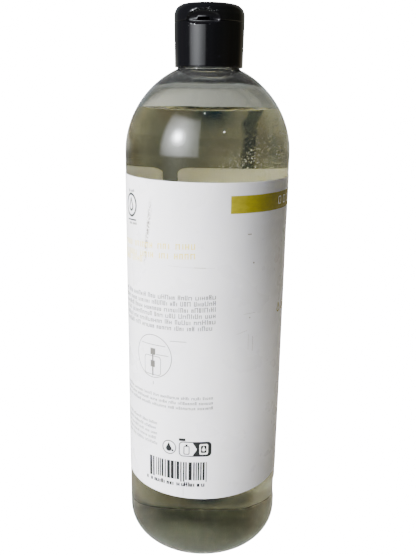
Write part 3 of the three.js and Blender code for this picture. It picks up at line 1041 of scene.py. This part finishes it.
def table_and_band(w, x, y, elevation):
    """Shares of a lit table behind, which ends just above the horizon, and of the pale band over it."""
    level_ground = w.math("MULTIPLY", w.spread(elevation, -6, -2), w.spread(elevation, 1.0, 3.0, 1.0, 0.0))
    sides = w.math("MAXIMUM", w.spread(x, -0.13, 0.08, 1.0, 0.12), w.spread(x, 0.16, 0.3, 0.0, 0.5))
    table = w.math("MULTIPLY", level_ground, sides)
    table = w.math("MULTIPLY", table, w.spread(y, 0.55, 0.8))
    far = w.math("MULTIPLY", w.spread(elevation, 3.5, 8.0), w.spread(elevation, 12, 26, 1.0, 0.0))
    far = w.math("MULTIPLY", far, w.spread(y, 0.1, 0.7))
    return table, far


def dark_things(w, azimuth, elevation):
    """The share of a dark upright thing behind, and of a slanting bar beside it with a leaning foot."""
    round_back = w.math("ADD", azimuth, w.math("MULTIPLY", w.math("GREATER_THAN", azimuth, 0.0), -360.0))
    upright_thing = w.glow(round_back, elevation, (-178.5, -17.5), 4.5, 1.0)
    lower_part = w.glow(round_back, elevation, (-178.5, -26.0), 4.5, 1.0)
    upright_thing = w.math("ADD", upright_thing, lower_part)
    slant = w.math("ADD", elevation, w.math("MULTIPLY", w.math("ADD", round_back, 157.0), 0.9))
    bar = w.spread(w.math("ABSOLUTE", w.math("ADD", slant, 21.6)), 2.2, 3.6, 0.85, 0.0)
    off_middle = w.math("ABSOLUTE", w.math("ADD", round_back, 158.5))
    bar = w.math("MULTIPLY", bar, w.spread(off_middle, 8.5, 10.5, 1.0, 0.0))
    lean = w.math("MULTIPLY", w.math("ADD", elevation, 11.0), 0.36)
    off_foot = w.math("ABSOLUTE", w.math("ADD", w.math("ADD", round_back, 164.5), lean))
    foot = w.spread(off_foot, 2.2, 3.4, 0.8, 0.0)
    off_foot_middle = w.math("ABSOLUTE", w.math("ADD", elevation, 13.0))
    foot = w.math("MULTIPLY", foot, w.spread(off_foot_middle, 7, 10, 1.0, 0.0))
    bar = w.math("MAXIMUM", bar, foot)
    return w.math("MAXIMUM", w.math("MINIMUM", upright_thing, 1.0), bar)


def room_light(w, direction, azimuth, elevation):
    """A dim mottled room, warmer to the right, and brighter and bluer far below."""
    x, y, _ = w.add("ShaderNodeSeparateXYZ", {"Vector": direction}).outputs
    lumps = w.add("ShaderNodeTexNoise", {"Vector": direction, "Scale": 2.1, "Detail": 2.0}).outputs["Fac"]
    tints = w.add("ShaderNodeTexNoise", {"Vector": direction, "Scale": 3.3, "Detail": 1.0}).outputs["Fac"]
    table, far = table_and_band(w, x, y, elevation)
    walls = w.mix(w.spread(elevation, -20, 20), LOW_COLOUR, CEILING_COLOUR)
    walls = w.mix(far, w.mix(table, walls, TABLE_COLOUR), FAR_COLOUR)
    walls = w.mix(dark_things(w, azimuth, elevation), walls, DARK_COLOUR)
    tinted = w.mix(w.spread(tints, 0.38, 0.62, 0.0, 0.4), walls, w.scaled(walls, (0.7, 0.93, 1.15, 1)))
    tinted = w.mix(w.spread(x, 0.2, 0.7), tinted, w.scaled(tinted, (1.3, 1.2, 0.95, 1)))
    tinted = w.mix(w.spread(elevation, -55, -30, 1.0, 0.0), tinted, w.scaled(tinted, (2.0, 2.25, 2.4, 1)))
    patches = w.spread(lumps, 0.32, 0.68, 0.72, 1.28)
    high_behind = w.math("MULTIPLY", w.spread(y, 0.45, 0.88, 0.28, 1.05), w.spread(elevation, -12, -6))
    low_behind = w.math("MULTIPLY", w.spread(y, -0.5, 0.3, 0.3, 1.2), w.spread(elevation, -12, -6, 1.0, 0.0))
    low_behind = w.math("MULTIPLY", low_behind, w.spread(y, 0.78, 0.94, 1.6, 1.0))
    level = w.math("MULTIPLY", patches, w.math("ADD", high_behind, low_behind))
    return w.add("ShaderNodeBackground", {"Color": tinted, "Strength": level}).outputs[0]


def window_light(w, azimuth, elevation):
    """A tall window of sky that fades to both sides, with a small bright core, a halo and two lamps. A
    path that has met a matt surface and then a clear or shiny one sees it brighter."""
    across = w.math("MULTIPLY", w.spread(azimuth, -70, -63), w.spread(azimuth, -15, -10, 1.0, 0.0))
    upright = w.math("MULTIPLY", w.spread(elevation, -5, -0.5), w.spread(elevation, 40, 47, 1.0, 0.0))
    pane = w.math("MULTIPLY", across, upright)
    left_edge, right_edge = w.spread(azimuth, -64, -42, 0.55, 1.1), w.spread(azimuth, -36, -18, 1.0, 0.5)
    profile = w.math("MULTIPLY", left_edge, right_edge)
    sky = w.math("MULTIPLY", pane, w.math("MULTIPLY", profile, WINDOW_LIGHT))
    light = w.math("ADD", sky, w.glow(azimuth, elevation, (-43, 21), 3.6, CORE_LIGHT))
    halo = w.glow(azimuth, elevation, (-44, 20), 11.0, HALO_LIGHT)
    light = w.math("ADD", light, w.math("MULTIPLY", halo, across))
    light = w.math("ADD", light, w.glow(azimuth, elevation, (25, 30), 0.35, LAMP_LIGHT))
    light = w.math("ADD", light, w.glow(azimuth, elevation, (-7, 54), 0.35, LAMP_LIGHT))
    path = w.add("ShaderNodeLightPath").outputs
    inside = w.math("SUBTRACT", w.spread(path["Diffuse Depth"], 0.4, 0.6), path["Is Diffuse Ray"], clamp=True)
    light = w.math("MULTIPLY", light, w.spread(inside, 0.0, 1.0, 1.0, INSIDE_BOOST))
    return w.add("ShaderNodeBackground", {"Color": (0.93, 0.96, 1.0, 1), "Strength": light}).outputs[0]


def make_world():
    """White to the camera, and to everything else a dim room with one tall soft window."""
    world = bpy.data.worlds.new("studio")
    bpy.context.scene.world = world
    world.use_nodes = True
    tree = world.node_tree
    tree.nodes.clear()
    w = Graph(tree)
    direction = w.add("ShaderNodeTexCoord").outputs["Generated"]
    x, y, z = w.add("ShaderNodeSeparateXYZ", {"Vector": direction}).outputs
    azimuth = w.math("MULTIPLY", w.math("ARCTAN2", x, w.math("MULTIPLY", y, -1.0)), 180 / math.pi)
    elevation = w.math("MULTIPLY", w.math("ARCSINE", z), 180 / math.pi)
    room = room_light(w, direction, azimuth, elevation)
    window = window_light(w, azimuth, elevation)
    both = w.add("ShaderNodeAddShader", {0: room, 1: window}).outputs[0]

    path = w.add("ShaderNodeLightPath").outputs
    black = w.add("ShaderNodeBackground", {"Color": (0, 0, 0, 1), "Strength": 0.0}).outputs[0]
    share = w.math("MULTIPLY", path["Is Diffuse Ray"], MATT_DIMMING)
    dimmed = w.add("ShaderNodeMixShader", {0: share, 1: both, 2: black}).outputs[0]
    white = w.add("ShaderNodeBackground", {"Color": (1, 1, 1, 1), "Strength": BACKDROP_LIGHT}).outputs[0]
    mix = w.add("ShaderNodeMixShader", {0: path["Is Camera Ray"], 1: dimmed, 2: white})
    output = w.add("ShaderNodeOutputWorld")
    tree.links.new(mix.outputs[0], output.inputs["Surface"])


def fill_light(name, azimuth, elevation, target_z, distance, size, power, colour):
    """A soft light on matt surfaces only: nothing shiny or clear shows it."""
    data = bpy.data.lights.new(name, "AREA")
    data.size = size
    data.energy = power
    data.color = colour
    lamp = bpy.data.objects.new(name, data)
    bpy.context.scene.collection.objects.link(lamp)
    level = math.cos(elevation)
    away = Vector((math.sin(azimuth) * level, -math.cos(azimuth) * level, math.sin(elevation)))
    lamp.location = Vector((0, 0, target_z * MM)) + away * distance
    lamp.rotation_euler = away.to_track_quat("Z", "Y").to_euler()
    for kind in ("camera", "glossy", "transmission"):
        setattr(lamp, "visible_" + kind, False)


make_floor()
make_world()
fill_light("key", rad(-65), rad(26), 110, 1.0, 0.6, 50.0, (1.0, 0.985, 0.995))
fill_light("back", rad(162), rad(8), 110, 0.8, 0.3, 34.0, (1.0, 0.97, 0.88))
fill_light("bounce", rad(20), rad(-2), 77, 0.105, 0.05, 0.05, (1.0, 0.97, 0.94))
